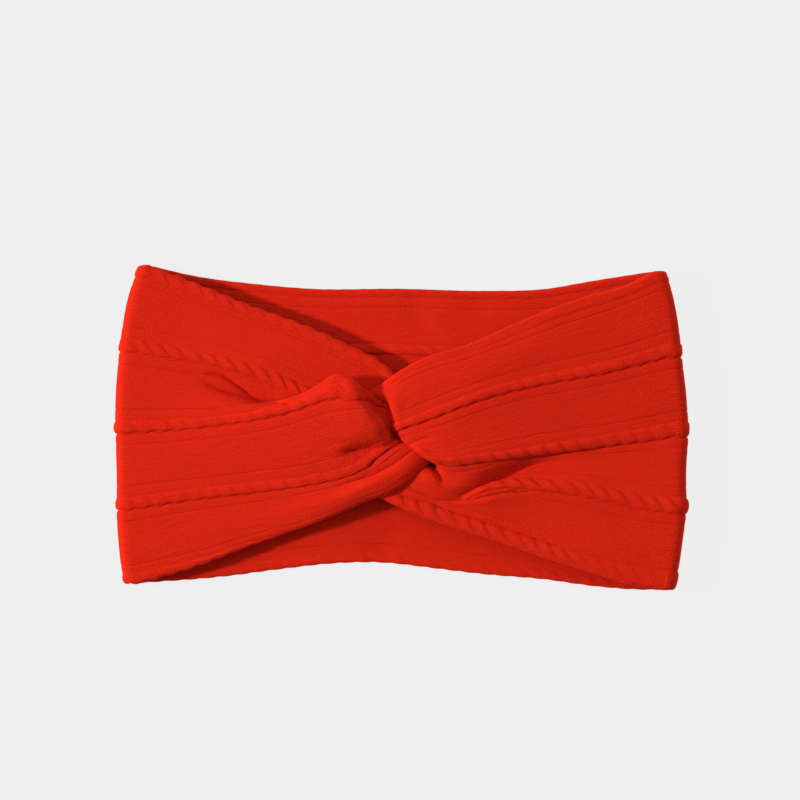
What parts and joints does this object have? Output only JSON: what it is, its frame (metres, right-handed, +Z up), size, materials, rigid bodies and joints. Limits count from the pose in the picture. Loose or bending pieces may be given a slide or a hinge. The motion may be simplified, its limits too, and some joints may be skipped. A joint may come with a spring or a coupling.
{
  "type": "sports headband",
  "caption": "Wide stretch headband of doubled cable-knit cloth with a hooked twist at the front, lying flat.",
  "frame": {"origin": "middle of the headband's footprint, on the surface that it lies on", "axes": "+X along the band from the left side fold to the right one, +Y up the band's height, +Z up, out of the twisted front"},
  "size_m": [0.22, 0.125, 0.0161],
  "materials": {
    "knit_cloth": "soft fine-rib jersey with raised cable columns, faint fuzz and sheen",
    "seam_thread": "dyed polyester sewing thread, slight sheen"
  },
  "bodies": {
    "root": {"back_band": "knit_cloth", "left_side_fold": "knit_cloth", "right_side_fold": "knit_cloth", "left_upper_leaf": "knit_cloth", "left_lower_leaf": "knit_cloth", "right_upper_leaf": "knit_cloth", "right_lower_leaf": "knit_cloth", "twist_seam_allowance": "knit_cloth", "twist_seam_stitching": "seam_thread", "tube_seam_stitching": "seam_thread"}
  },
  "joints": []
}
